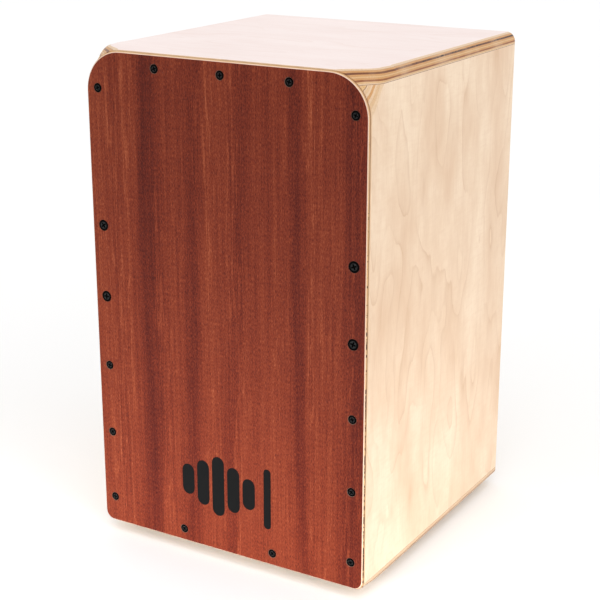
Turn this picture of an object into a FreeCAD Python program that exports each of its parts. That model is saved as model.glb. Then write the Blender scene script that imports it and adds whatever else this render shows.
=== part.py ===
import FreeCAD, Part
import math
import os

import Sketcher

# Cajon: a plywood box drum. Origin at the centre of the footprint on the floor, +X to the right of a
# player who faces the playing plate, -Y out of the playing plate, +Z up. Millimetres throughout.

DRIVING_SIZES = [
    ("box_width", 300, "outside width of the box"),
    ("box_height", 480, "outside height of the box without its feet"),
    ("box_depth", 300, "depth of the box behind the playing plate"),
    ("plate_thick", 3, "playing plate"),
    ("plate_inset", 1, "plate's outline inside the box's outline"),
    ("plate_bevel", 1.6, "bevel round the plate's front rim"),
    ("plate_soften", 0.5, "rounding of the bevel's two edges"),
    ("top_thick", 12, "seat panel"),
    ("floor_thick", 9, "bottom panel"),
    ("side_thick", 9, "side panels"),
    ("back_thick", 5, "inset back panel"),
    ("upper_corner", 40, "radius of the box's upper corners at the plate"),
    ("upper_edge", 9.5, "roundover along the seat's side edges"),
    ("lower_corner", 11, "radius of the box's lower corners at the plate"),
    ("lower_edge", 6, "roundover along the bottom panel's side edges"),
    ("front_arris", 1.2, "rounding of the box's front rim"),
    ("blend_scale", 15.6, "depth over which the corner radius falls to the edge roundover"),
    ("batten_front", 15, "square section of the strips behind the plate"),
    ("batten_back", 12, "square section of the strips in front of the back panel"),
    ("corner_leg", 25, "legs of the triangular corner blocks"),
    ("screw_inset", 14, "screw centres to the box's edges"),
    ("screw_first", 28, "lowest side screw above the box's underside"),
    ("screw_pitch", 71, "screw spacing up the sides and along the top"),
    ("slap_drop", 36.5, "slap screws below the seat"),
    ("lower_row", 51, "lower row screws from the middle"),
    ("head_radius", 4.2, "countersunk head"),
    ("head_rim", 0.2, "straight rim of the countersunk head"),
    ("head_sink", 0.3, "fixed heads below the plate's face"),
    ("shank_radius", 1.9, "plate screws"),
    ("wide_head", 5.4, "heads of the heavier screws"),
    ("wide_sink", 0.1, "heavier screws' heads below the plate's face"),
    ("wide_shank", 2.7, "heavier screws"),
    ("wide_bore", 2.8, "radius of the heavier screws' holes through the plate"),
    ("screw_length", 16, "plate screws, overall"),
    ("screw_point", 3, "conical point of the plate screws"),
    ("recess_arm", 2.7, "cross recess, from the middle to an arm's end"),
    ("recess_half", 0.6, "half the width of a recess arm"),
    ("recess_deep", 1.7, "cross recess"),
    ("plate_bore", 2.3, "radius of the screw holes through the plate"),
    ("shaft_fit", 0.05, "radial clearance of shafts in their holes"),
    ("drill_start", 0.5, "start of the plate screws' pilot holes behind the plate's face"),
    ("hole_radius", 60, "sound hole"),
    ("hole_height", 320, "sound hole centre above the floor"),
    ("hole_arris", 1.5, "rounding of the sound hole's outer rim"),
    ("foot_height", 10, "rubber feet"),
    ("foot_top", 13, "radius of a foot against the box"),
    ("foot_bottom", 12, "radius of a foot on the floor"),
    ("foot_inset", 38, "foot centres from the box's sides, front and back"),
    ("foot_round", 1, "rounding of a foot's lower rim"),
    ("foot_bore", 2.3, "radius of the hole through a foot"),
    ("foot_sink", 7, "radius of the sink under a foot"),
    ("sink_deep", 5, "depth of the sink under a foot"),
    ("washer_radius", 6, "foot washers"),
    ("washer_thick", 1, "foot washers"),
    ("foot_head", 4, "radius of the foot screws' heads"),
    ("foot_head_tall", 2.4, "foot screws' heads"),
    ("foot_head_round", 1, "rounding of the foot screws' heads"),
    ("foot_shank", 2, "radius of the foot screws"),
    ("foot_grip", 7, "depth of the foot screws in the bottom panel"),
    ("foot_spare", 1, "pilot holes past the foot screws' ends"),
    ("bar_height", 350, "snare bar axis above the floor"),
    ("bar_back", 30, "snare bar axis behind the plate's back"),
    ("bar_length", 240, "snare bar between its round ends"),
    ("bar_deep", 18, "snare bar section, front to back"),
    ("bar_tall", 24, "snare bar section, bottom to top"),
    ("bar_chamfer", 1.5, "snare bar edges"),
    ("pivot_radius", 6, "round ends of the snare bar"),
    ("pivot_length", 15, "round ends of the snare bar"),
    ("block_thick", 20, "bearing blocks, along the bar"),
    ("block_square", 30, "bearing blocks, front to back and bottom to top"),
    ("block_wall", 4, "wood left behind the bearing blocks' blind bores"),
    ("set_offset", 62, "middle of each snare set from the middle of the bar"),
    ("strand_radius", 1.1, "outer radius of a coiled strand"),
    ("strand_pitch", 4.5, "spacing of the strands"),
    ("strand_low", 2, "lower end of the strands above the bar's axis"),
    ("strand_high", 112, "upper end of the strands above the bar's axis"),
    ("base_wide", 50, "snare base plate"),
    ("base_low", 10, "snare base plate below the bar's axis"),
    ("base_high", 9, "snare base plate above the bar's axis"),
    ("base_thick", 1, "snare base plate"),
    ("end_wide", 46, "snare end plate"),
    ("end_tall", 8, "snare end plate"),
    ("end_thick", 0.8, "snare end plate"),
    ("pan_radius", 2.6, "snare plate screw heads"),
    ("pan_tall", 1.8, "snare plate screw heads"),
    ("pan_round", 0.8, "rounding of the snare plate screw heads"),
    ("pan_shank", 1.25, "radius of the snare plate screws"),
    ("pan_length", 10, "snare plate screws in the bar"),
    ("pan_spread", 16, "snare plate screws from the middle of their plate"),
    ("pan_drop", 5, "snare plate screws below the bar's axis"),
    ("rest_gap", 0.3, "strand ends to the plate's back"),
    ("overhang", 5, "how far raw panels reach past the finished outline"),
]
STRANDS = 10
SIDES = {"left": -1, "right": 1}
ENDS = {"front": -1, "back": 1}

# Depths behind the plate's back where the box's outline is drawn, as multiples of blend_scale.
BLEND_STATIONS = (0, 0.35, 0.7, 1.05, 1.4, 1.8, 2.3, 3)

# Places that many pieces share, as expressions.
PLATE_FRONT = "-(Sizes.box_depth + Sizes.plate_thick) / 2"
PLATE_BACK = "(Sizes.plate_thick - Sizes.box_depth) / 2"
BOX_BACK = "(Sizes.box_depth + Sizes.plate_thick) / 2"
FLOOR_LOW = "Sizes.foot_height"
FLOOR_HIGH = "(Sizes.foot_height + Sizes.floor_thick)"
SEAT = "(Sizes.foot_height + Sizes.box_height)"
SEAT_LOW = "(Sizes.foot_height + Sizes.box_height - Sizes.top_thick)"
HALF_WIDTH = "Sizes.box_width / 2"
HALF_INSIDE = "(Sizes.box_width / 2 - Sizes.side_thick)"
BAR_Y = f"({PLATE_BACK} + Sizes.bar_back)"

X_AXIS = FreeCAD.Vector(1, 0, 0)
Z_AXIS = FreeCAD.Vector(0, 0, 1)

doc = FreeCAD.newDocument("Cajon")
sheet = doc.addObject("Spreadsheet::Sheet", "Sizes")
nodes = []


def fill_sheet():
    """Write each driving size with its name and meaning, one to a row."""
    for row, (alias, number, meaning) in enumerate(DRIVING_SIZES, 1):
        sheet.set(f"A{row}", alias)
        sheet.set(f"B{row}", str(number))
        sheet.setAlias(f"B{row}", alias)
        sheet.set(f"C{row}", meaning)
    doc.recompute()


def number(expression):
    """Present value of an expression over the sheet."""
    result = sheet.evalExpression(str(expression))
    return float(getattr(result, "Value", result))


def bind(thing, **sizes):
    """Bind properties of an object to expressions over the sheet."""
    for name, expression in sizes.items():
        thing.setExpression(name, str(expression))


def place(thing, x=0, y=0, z=0, turn=0):
    """Bind an object's place to the sheet; turn is an angle about the X axis."""
    angle = number(turn)
    thing.Placement = FreeCAD.Placement(FreeCAD.Vector(0, 0, 0), FreeCAD.Rotation(X_AXIS, angle))
    for axis, expression in zip("xyz", (x, y, z)):
        thing.setExpression(f"Placement.Base.{axis}", str(expression))
    if angle:
        thing.setExpression("Placement.Rotation.Angle", str(turn))


def add_node(thing, label):
    """Register a finished sub-part under the name that it is exported with."""
    thing.Label = label
    nodes.append(thing)
    return thing


# ---------------------------------------------------------------- sketch helpers


def origin_plane(body, role):
    """The body's own origin plane of this role."""
    for feature in body.Origin.OriginFeatures:
        if feature.Role == role:
            return feature
    raise ValueError(role)


def body_sketch(body, name, role):
    """New sketch on one of the body's origin planes."""
    sketch = body.newObject("Sketcher::SketchObject", name)
    sketch.AttachmentSupport = [(origin_plane(body, role), "")]
    sketch.MapMode = "FlatFace"
    return sketch


def constrain(sketch, kind, *reference, expression=None):
    """Add a constraint, bound to an expression where one is given."""
    if expression is None:
        return sketch.addConstraint(Sketcher.Constraint(kind, *reference))
    index = sketch.addConstraint(Sketcher.Constraint(kind, *reference, number(expression)))
    sketch.setExpression(f"Constraints[{index}]", str(expression))
    return index


def pin_point(sketch, geometry, point, x, y):
    """Hold a sketch point at (x, y), each an expression."""
    if abs(number(x)) < 1e-9:
        constrain(sketch, "PointOnObject", geometry, point, -2)
    else:
        constrain(sketch, "DistanceX", -1, 1, geometry, point, expression=x)
    if abs(number(y)) < 1e-9:
        constrain(sketch, "PointOnObject", geometry, point, -1)
    else:
        constrain(sketch, "DistanceY", -1, 1, geometry, point, expression=y)


def draw_polygon(sketch, corners):
    """Closed polygon through corners given as pairs of expressions."""
    points = [FreeCAD.Vector(number(x), number(y), 0) for x, y in corners]
    count = len(points)
    first = sketch.GeometryCount
    for index, point in enumerate(points):
        sketch.addGeometry(Part.LineSegment(point, points[(index + 1) % count]))
    for index, (x, y) in enumerate(corners):
        constrain(sketch, "Coincident", first + (index - 1) % count, 2, first + index, 1)
        pin_point(sketch, first + index, 1, x, y)


def draw_circle(sketch, x, y, radius):
    """Circle with its centre and radius bound to expressions."""
    centre = FreeCAD.Vector(number(x), number(y), 0)
    index = sketch.addGeometry(Part.Circle(centre, Z_AXIS, number(radius)))
    pin_point(sketch, index, 3, x, y)
    constrain(sketch, "Radius", index, expression=radius)


def draw_outline(sketch, low_radius, high_radius, inset="0"):
    """The box's front outline, with one radius for its lower and one for its upper corners.

    The inset draws it parallel to itself, that far inside.
    """
    half_expression = f"{HALF_WIDTH} - {inset}"
    low_expression = f"{FLOOR_LOW} + {inset}"
    high_expression = f"{SEAT} - {inset}"
    low_radius = f"{low_radius} - {inset}"
    high_radius = f"{high_radius} - {inset}"
    half = number(half_expression)
    low = number(low_expression)
    high = number(high_expression)
    low_arc = number(low_radius)
    high_arc = number(high_radius)

    def line(x_from, y_from, x_to, y_to):
        return Part.LineSegment(FreeCAD.Vector(x_from, y_from, 0), FreeCAD.Vector(x_to, y_to, 0))

    def corner(x, y, radius, quarter):
        circle = Part.Circle(FreeCAD.Vector(x, y, 0), Z_AXIS, radius)
        return Part.ArcOfCircle(circle, quarter * math.pi / 2, (quarter + 1) * math.pi / 2)

    sketch.addGeometry([
        line(low_arc - half, low, half - low_arc, low),
        corner(half - low_arc, low + low_arc, low_arc, 3),
        line(half, low + low_arc, half, high - high_arc),
        corner(half - high_arc, high - high_arc, high_arc, 0),
        line(half - high_arc, high, high_arc - half, high),
        corner(high_arc - half, high - high_arc, high_arc, 1),
        line(-half, high - high_arc, -half, low + low_arc),
        corner(low_arc - half, low + low_arc, low_arc, 2),
    ])
    for index in range(8):
        constrain(sketch, "Tangent", index, 2, (index + 1) % 8, 1)
    constrain(sketch, "Horizontal", 0)
    constrain(sketch, "Horizontal", 4)
    constrain(sketch, "Vertical", 2)
    constrain(sketch, "Vertical", 6)
    constrain(sketch, "Equal", 1, 7)
    constrain(sketch, "Equal", 3, 5)
    constrain(sketch, "DistanceX", -1, 1, 2, 1, expression=half_expression)
    constrain(sketch, "DistanceX", 6, 1, -1, 1, expression=half_expression)
    constrain(sketch, "DistanceY", -1, 1, 0, 1, expression=low_expression)
    constrain(sketch, "DistanceY", -1, 1, 4, 1, expression=high_expression)
    constrain(sketch, "Radius", 1, expression=low_radius)
    constrain(sketch, "Radius", 3, expression=high_radius)


# ---------------------------------------------------------------- solid helpers


def block(name, x_low, x_high, y_low, y_high, z_low, z_high):
    """Box between two places on each axis, all expressions."""
    box = doc.addObject("Part::Box", name)
    bind(box, Length=f"({x_high}) - ({x_low})", Width=f"({y_high}) - ({y_low})",
         Height=f"({z_high}) - ({z_low})")
    place(box, x_low, y_low, z_low)
    return box


def rod(name, radius, length, x=0, y=0, z=0, turn=0):
    """Cylinder along Z, or turned about X, from a place."""
    cylinder = doc.addObject("Part::Cylinder", name)
    bind(cylinder, Radius=radius, Height=length)
    place(cylinder, x, y, z, turn)
    return cylinder


def common(name, base, tool):
    """What two solids share."""
    result = doc.addObject("Part::Common", name)
    result.Base = base
    result.Tool = tool
    return result


def cut(name, base, tool):
    """First solid less the second."""
    result = doc.addObject("Part::Cut", name)
    result.Base = base
    result.Tool = tool
    return result


def group(name, members):
    """Separate solids held together as one object."""
    result = doc.addObject("Part::Compound", name)
    result.Links = members
    return result


def copies(label, master, places, turn=0):
    """One node made of the master repeated at each place."""
    links = []
    for index, (x, y, z) in enumerate(places, 1):
        link = doc.addObject("App::Link", f"{label}_copy{index}")
        link.LinkedObject = master
        place(link, x, y, z, turn)
        links.append(link)
    return add_node(group(label, links), label)


def new_body(label):
    """Empty PartDesign body."""
    body = doc.addObject("PartDesign::Body", label)
    body.Label = label
    return body


def pad(body, sketch, length, both_ways=False, downward=False):
    """Pad of a sketch."""
    feature = body.newObject("PartDesign::Pad", f"{body.Name}_pad")
    feature.Profile = sketch
    feature.SideType = "Symmetric" if both_ways else "One side"
    feature.Reversed = downward
    bind(feature, Length=length)
    doc.recompute()
    return feature


def pocket(body, sketch, depth, upward=False):
    """Pocket of a sketch; stops when it takes nothing away."""
    before = body.Shape.Volume
    feature = body.newObject("PartDesign::Pocket", f"{body.Name}_pocket")
    feature.Profile = sketch
    feature.Reversed = upward
    bind(feature, Length=depth)
    doc.recompute()
    if body.Shape.Volume > before - 1e-3:
        raise RuntimeError(f"{feature.Name} cuts nothing")
    return feature


def turned(body, corners):
    """Revolve a closed (radius, height) outline about the body's Z axis."""
    sketch = body_sketch(body, f"{body.Name}_outline", "XZ_Plane")
    draw_polygon(sketch, corners)
    feature = body.newObject("PartDesign::Revolution", f"{body.Name}_revolution")
    feature.Profile = sketch
    feature.ReferenceAxis = (sketch, ["V_Axis"])
    feature.Angle = 360
    doc.recompute()
    return feature


def picked_edges(base, wanted):
    """Names of the edges of a feature that the test picks."""
    return [f"Edge{index}" for index, edge in enumerate(base.Shape.Edges, 1) if wanted(edge)]


def round_edges(body, base, radius, wanted):
    """Fillet the edges of a feature that the test picks."""
    feature = body.newObject("PartDesign::Fillet", f"{body.Name}_fillet")
    feature.Base = (base, picked_edges(base, wanted))
    bind(feature, Radius=radius)
    doc.recompute()
    return feature


def bevel_edges(body, base, size, wanted):
    """Chamfer the edges of a feature that the test picks."""
    feature = body.newObject("PartDesign::Chamfer", f"{body.Name}_chamfer")
    feature.Base = (base, picked_edges(base, wanted))
    bind(feature, Size=size)
    doc.recompute()
    return feature


# ---------------------------------------------------------------- shared tools


def make_envelope():
    """The finished outside of the box, which every outer panel is trimmed to.

    The large corner radius at the plate falls off along a bell curve to the plain edge roundover.
    """
    sections = []
    for index, station in enumerate(BLEND_STATIONS):
        share = f"exp(-1 * {station} ^ 2)"
        if station == BLEND_STATIONS[-1]:
            share = "0"
        sketch = doc.addObject("Sketcher::SketchObject", f"BoxOutline{index}")
        draw_outline(
            sketch,
            f"Sizes.lower_edge + (Sizes.lower_corner - Sizes.lower_edge) * {share}",
            f"Sizes.upper_edge + (Sizes.upper_corner - Sizes.upper_edge) * {share}",
        )
        place(sketch, 0, f"{PLATE_BACK} + {station} * Sizes.blend_scale", 0, turn=90)
        sections.append(sketch)
    doc.recompute()
    blend = doc.addObject("Part::Loft", "BoxBlend")
    blend.Sections = sections
    blend.Solid = True
    straight = doc.addObject("Part::Extrusion", "BoxStraight")
    straight.Base = sections[-1]
    straight.DirMode = "Custom"
    straight.Dir = FreeCAD.Vector(0, 1, 0)
    straight.Solid = True
    bind(straight, LengthFwd=f"Sizes.box_depth - {BLEND_STATIONS[-1]} * Sizes.blend_scale")
    whole = doc.addObject("Part::Fuse", "BoxWhole")
    whole.Base = blend
    whole.Tool = straight
    doc.recompute()
    front = number(PLATE_BACK)
    arris = number("Sizes.front_arris")
    envelope = doc.addObject("Part::Fillet", "BoxEnvelope")
    envelope.Base = whole
    envelope.Edges = [
        (index, arris, arris) for index, edge in enumerate(whole.Shape.Edges, 1)
        if all(abs(vertex.Y - front) < 1e-6 for vertex in edge.Vertexes)
    ]
    doc.recompute()
    return envelope


def side_screw_places(steps):
    """X and Z expressions of the plate's screws at these steps up both of its sides."""
    return [
        (f"{side} * ({HALF_WIDTH} - Sizes.screw_inset)",
         f"Sizes.foot_height + Sizes.screw_first + {step} * Sizes.screw_pitch")
        for side in SIDES.values() for step in steps
    ]


def wide_screw_places():
    """X and Z expressions of the heavier screws, the two below each slap screw."""
    return side_screw_places((3, 4))


def fixed_screw_places():
    """X and Z expressions of the plate's other fixed screws."""
    places = side_screw_places((0, 1, 2))
    for step in (-1, 0, 1):
        places.append((f"{step} * Sizes.screw_pitch", f"{SEAT} - Sizes.screw_inset"))
    for side in SIDES.values():
        places.append((f"{side} * Sizes.lower_row", "Sizes.foot_height + Sizes.screw_inset"))
    return places


def slap_screw_places():
    """X and Z expressions of the two upper corner screws, by side."""
    height = f"{SEAT} - Sizes.slap_drop"
    return {side: (f"{sign} * ({HALF_WIDTH} - Sizes.screw_inset)", height)
            for side, sign in SIDES.items()}


def foot_places():
    """X and Y expressions of the four feet, by name."""
    places = {}
    for end, depth_sign in ENDS.items():
        edge = PLATE_BACK if end == "front" else BOX_BACK
        for side, sign in SIDES.items():
            x = f"{sign} * ({HALF_WIDTH} - Sizes.foot_inset)"
            y = f"{edge} - {depth_sign} * Sizes.foot_inset"
            places[f"foot_{end}_{side}"] = (x, y)
    return places


def make_front_drills():
    """Pilot holes behind every plate screw."""
    sizes = {
        "Sizes.shank_radius": fixed_screw_places() + list(slap_screw_places().values()),
        "Sizes.wide_shank": wide_screw_places(),
    }
    drills = [
        rod(f"FrontDrill_{row}_{index}", f"{shank} + Sizes.shaft_fit", "Sizes.screw_length",
            x, f"{PLATE_FRONT} + Sizes.drill_start", z, turn=-90)
        for row, (shank, places) in enumerate(sizes.items()) for index, (x, z) in enumerate(places)
    ]
    return group("FrontDrills", drills)


def make_foot_drills():
    """Blind pilot holes for the foot screws in the bottom panel's underside."""
    drills = [
        rod(f"FootDrill{index}", "Sizes.foot_shank + Sizes.shaft_fit", "Sizes.foot_grip + Sizes.foot_spare",
            x, y, FLOOR_LOW)
        for index, (x, y) in enumerate(foot_places().values())
    ]
    return group("FootDrills", drills)


# ---------------------------------------------------------------- the box


def make_panels(envelope, foot_drills):
    """Seat, bottom and the two sides, each trimmed to the finished outside."""
    out = "Sizes.overhang"
    left = f"-{HALF_WIDTH} - {out}"
    right = f"{HALF_WIDTH} + {out}"
    front = f"{PLATE_BACK} - {out}"
    back = f"{BOX_BACK} + {out}"
    seat = block("SeatBlank", left, right, front, back, SEAT_LOW, f"{SEAT} + {out}")
    add_node(common("SeatTrim", seat, envelope), "top_panel")
    floor = block("FloorBlank", left, right, front, back, f"{FLOOR_LOW} - {out}", FLOOR_HIGH)
    add_node(cut("FloorDrilled", common("FloorTrim", floor, envelope), foot_drills), "bottom_panel")
    for side, sign in SIDES.items():
        low, high = sorted((f"{sign} * {HALF_INSIDE}", f"{sign} * ({HALF_WIDTH} + {out})"), key=number)
        blank = block(f"SideBlank_{side}", low, high, front, back, FLOOR_HIGH, SEAT_LOW)
        add_node(common(f"SideTrim_{side}", blank, envelope), f"side_panel_{side}")


def make_back_panel():
    """Inset back with the round sound hole, its outer rim rounded."""
    body = new_body("back_panel")
    sketch = body_sketch(body, "back_outline", "XY_Plane")
    draw_polygon(sketch, [
        (f"-{HALF_INSIDE}", FLOOR_HIGH), (HALF_INSIDE, FLOOR_HIGH),
        (HALF_INSIDE, SEAT_LOW), (f"-{HALF_INSIDE}", SEAT_LOW),
    ])
    draw_circle(sketch, "0", "Sizes.hole_height", "Sizes.hole_radius")
    slab = pad(body, sketch, "Sizes.back_thick")
    round_edges(
        body, slab, "Sizes.hole_arris",
        lambda edge: len(edge.Vertexes) == 1 and abs(edge.CenterOfMass.z) < 1e-6,
    )
    place(body, 0, BOX_BACK, 0, turn=90)
    add_node(body, "back_panel")


def make_front_plate():
    """Thin playing plate: rounded outline, bevelled front rim and countersunk screw holes."""
    body = new_body("front_plate")
    sketch = body_sketch(body, "plate_outline", "XY_Plane")
    draw_outline(sketch, "Sizes.lower_corner", "Sizes.upper_corner", "Sizes.plate_inset")
    slab = pad(body, sketch, "Sizes.plate_thick", downward=True)
    bevelled = bevel_edges(
        body, slab, "Sizes.plate_bevel",
        lambda edge: all(abs(vertex.Z) < 1e-6 for vertex in edge.Vertexes),
    )
    bevel_low = -number("Sizes.plate_bevel")
    round_edges(
        body, bevelled, "Sizes.plate_soften",
        lambda edge: all(abs(vertex.Z) < 1e-6 for vertex in edge.Vertexes)
        or all(abs(vertex.Z - bevel_low) < 1e-6 for vertex in edge.Vertexes),
    )
    countersink(body, "plate_holes", fixed_screw_places() + list(slap_screw_places().values()),
                "Sizes.plate_bore", "Sizes.head_radius + Sizes.head_rim + Sizes.head_sink")
    countersink(body, "wide_holes", wide_screw_places(),
                "Sizes.wide_bore", "Sizes.wide_head + Sizes.head_rim + Sizes.wide_sink")
    place(body, 0, PLATE_FRONT, 0, turn=90)
    add_node(body, "front_plate")


def countersink(body, name, places, bore, mouth):
    """Countersunk holes through the plate, with the radii of their bores and of their mouths."""
    holes = body_sketch(body, name, "XY_Plane")
    for x, z in places:
        draw_circle(holes, x, z, bore)
    doc.recompute()
    before = body.Shape.Volume
    drilled = body.newObject("PartDesign::Hole", f"{name}_cut")
    drilled.Profile = holes
    drilled.ThreadType = "None"
    drilled.DepthType = "ThroughAll"
    drilled.HoleCutType = "Countersink"
    drilled.HoleCutCustomValues = True
    bind(drilled, Diameter=f"2 * {bore}", HoleCutDiameter=f"2 * ({mouth})")
    drilled.HoleCutCountersinkAngle = 90
    doc.recompute()
    if body.Shape.Volume > before - 1:
        raise RuntimeError(f"{name} cut nothing")


def make_battens(envelope, front_drills):
    """Strips behind the plate's rim and in front of the back panel."""
    front_back = f"{PLATE_BACK} + Sizes.batten_front"
    back_front = f"{BOX_BACK} - Sizes.back_thick - Sizes.batten_back"
    back_back = f"{BOX_BACK} - Sizes.back_thick"
    for side, sign in SIDES.items():
        outer = f"{sign} * {HALF_INSIDE}"
        inner = f"{sign} * ({HALF_INSIDE} - Sizes.batten_front)"
        low, high = sorted((outer, inner), key=number)
        blank = block(f"FrontBlank_{side}", low, high, PLATE_BACK, front_back, FLOOR_HIGH, SEAT_LOW)
        trimmed = common(f"FrontTrim_{side}", blank, envelope)
        add_node(cut(f"FrontDrilled_{side}", trimmed, front_drills), f"front_batten_{side}")
        inner = f"{sign} * ({HALF_INSIDE} - Sizes.batten_back)"
        low, high = sorted((outer, inner), key=number)
        add_node(block(f"BackBatten_{side}", low, high, back_front, back_back, FLOOR_HIGH, SEAT_LOW),
                 f"back_batten_{side}")
    levels = {
        "top": lambda size: (f"{SEAT_LOW} - {size}", SEAT_LOW),
        "bottom": lambda size: (FLOOR_HIGH, f"{FLOOR_HIGH} + {size}"),
    }
    for level, span in levels.items():
        reach = f"({HALF_INSIDE} - Sizes.batten_front)"
        low, high = span("Sizes.batten_front")
        blank = block(f"FrontBlank_{level}", f"-{reach}", reach, PLATE_BACK, front_back, low, high)
        add_node(cut(f"FrontDrilled_{level}", blank, front_drills), f"front_batten_{level}")
        reach = f"({HALF_INSIDE} - Sizes.batten_back)"
        low, high = span("Sizes.batten_back")
        add_node(block(f"BackBatten_{level}", f"-{reach}", reach, back_front, back_back, low, high),
                 f"back_batten_{level}")


def make_corner_blocks():
    """Triangular blocks in the angle between the side and top front battens."""
    for side, sign in SIDES.items():
        body = new_body(f"corner_block_{side}")
        sketch = body_sketch(body, f"corner_outline_{side}", "XY_Plane")
        x = f"{sign} * ({HALF_INSIDE} - Sizes.batten_front)"
        x_in = f"{sign} * ({HALF_INSIDE} - Sizes.batten_front - Sizes.corner_leg)"
        z = f"({SEAT_LOW} - Sizes.batten_front)"
        draw_polygon(sketch, [(x, z), (x_in, z), (x, f"{z} - Sizes.corner_leg")])
        pad(body, sketch, "Sizes.batten_front", downward=True)
        place(body, 0, PLATE_BACK, 0, turn=90)
        add_node(body, f"corner_block_{side}")


# ---------------------------------------------------------------- screws and feet


def make_plate_screw(label, head="Sizes.head_radius", shank="Sizes.shank_radius"):
    """Countersunk screw with a cross recess; its head's face is at the origin, facing +Z."""
    body = new_body(label)
    turned(body, [
        ("0", "0"),
        (head, "0"),
        (head, "-Sizes.head_rim"),
        (shank, f"-Sizes.head_rim - ({head} - {shank})"),
        (shank, "Sizes.screw_point - Sizes.screw_length"),
        ("0", "-Sizes.screw_length"),
    ])
    sketch = body_sketch(body, f"{label}_recess", "XY_Plane")
    arm = "Sizes.recess_arm"
    half = "Sizes.recess_half"
    quarter = [(arm, f"-{half}"), (arm, half), (half, half)]
    corners = []
    for _ in range(4):
        corners += quarter
        quarter = [(f"-({y})", x) for x, y in quarter]
    draw_polygon(sketch, corners)
    pocket(body, sketch, "Sizes.recess_deep")
    return body


def make_screws():
    """The fixed plate screws as one group for each size, and each slap screw on its own."""
    master = make_plate_screw("plate_screw")
    sunk = f"{PLATE_FRONT} + Sizes.head_sink"
    copies("front_plate_screws", master, [(x, sunk, z) for x, z in fixed_screw_places()], turn=90)
    wide = make_plate_screw("wide_screw", "Sizes.wide_head", "Sizes.wide_shank")
    sunk = f"{PLATE_FRONT} + Sizes.wide_sink"
    copies("wide_plate_screws", wide, [(x, sunk, z) for x, z in wide_screw_places()], turn=90)
    for side, (x, z) in slap_screw_places().items():
        label = f"slap_screw_{side}"
        screw = make_plate_screw(label)
        place(screw, x, PLATE_FRONT, z, turn=90)
        add_node(screw, label)


def make_feet():
    """Rubber feet, each with a sink for its washer and screw."""
    for label, (x, y) in foot_places().items():
        body = new_body(label)
        foot = turned(body, [
            ("Sizes.foot_sink", "0"),
            ("Sizes.foot_bottom", "0"),
            ("Sizes.foot_top", "Sizes.foot_height"),
            ("Sizes.foot_bore", "Sizes.foot_height"),
            ("Sizes.foot_bore", "Sizes.sink_deep"),
            ("Sizes.foot_sink", "Sizes.sink_deep"),
        ])
        rim = number("Sizes.foot_bottom")
        round_edges(
            body, foot, "Sizes.foot_round",
            lambda edge: abs(edge.BoundBox.ZMax) < 1e-6 and abs(edge.BoundBox.XMax - rim) < 1e-3,
        )
        place(body, x, y)
        add_node(body, label)


def make_foot_hardware():
    """Washers and pan head screws that hold the feet."""
    disc = rod("WasherDisc", "Sizes.washer_radius", "Sizes.washer_thick")
    bore = rod("WasherBore", "Sizes.foot_bore", "Sizes.washer_thick")
    washer = cut("Washer", disc, bore)
    floor = "(Sizes.sink_deep - Sizes.washer_thick)"
    centres = list(foot_places().values())
    copies("foot_washers", washer, [(x, y, floor) for x, y in centres])
    screw = new_body("foot_screw")
    head = turned(screw, [
        ("0", "-Sizes.foot_head_tall"),
        ("Sizes.foot_head", "-Sizes.foot_head_tall"),
        ("Sizes.foot_head", "0"),
        ("Sizes.foot_shank", "0"),
        ("Sizes.foot_shank", "Sizes.foot_height - Sizes.sink_deep + Sizes.washer_thick + Sizes.foot_grip"),
        ("0", "Sizes.foot_height - Sizes.sink_deep + Sizes.washer_thick + Sizes.foot_grip"),
    ])
    lowest = -number("Sizes.foot_head_tall")
    round_edges(
        screw, head, "Sizes.foot_head_round",
        lambda edge: abs(edge.BoundBox.ZMax - lowest) < 1e-6 and edge.BoundBox.XLength > 1,
    )
    copies("foot_screws", screw, [(x, y, floor) for x, y in centres])


# ---------------------------------------------------------------- the snare


def rest_angle():
    """Lean of the bar that brings the strand ends to the rest gap from the plate's back."""
    out = "(Sizes.bar_deep / 2 + Sizes.base_thick + 2 * Sizes.strand_radius)"
    reach = "(Sizes.bar_back - Sizes.rest_gap)"
    span = f"sqrt({out} ^ 2 + Sizes.strand_high ^ 2)"
    return f"asin({reach} / {span}) - atan({out} / Sizes.strand_high)"


def on_bar(thing):
    """Lean a piece made about the bar's axis with the bar."""
    place(thing, 0, BAR_Y, "Sizes.bar_height", turn=rest_angle())


def make_snare_blocks():
    """Bearing blocks on the side panels, behind the front battens, with blind bores."""
    half = "Sizes.block_square / 2"
    for side, sign in SIDES.items():
        outer = f"{sign} * {HALF_INSIDE}"
        inner = f"{sign} * ({HALF_INSIDE} - Sizes.block_thick)"
        low, high = sorted((outer, inner), key=number)
        solid = block(f"BearingBlank_{side}", low, high, f"{BAR_Y} - {half}", f"{BAR_Y} + {half}",
                      f"Sizes.bar_height - {half}", f"Sizes.bar_height + {half}")
        bore = doc.addObject("Part::Cylinder", f"BearingBore_{side}")
        bind(bore, Radius="Sizes.pivot_radius + Sizes.shaft_fit",
             Height="Sizes.block_thick - Sizes.block_wall")
        bore.Placement.Rotation = FreeCAD.Rotation(FreeCAD.Vector(0, 1, 0), 90 * sign)
        for axis, expression in zip("xyz", (inner, BAR_Y, "Sizes.bar_height")):
            bore.setExpression(f"Placement.Base.{axis}", expression)
        add_node(cut(f"Bearing_{side}", solid, bore), f"snare_block_{side}")


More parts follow.
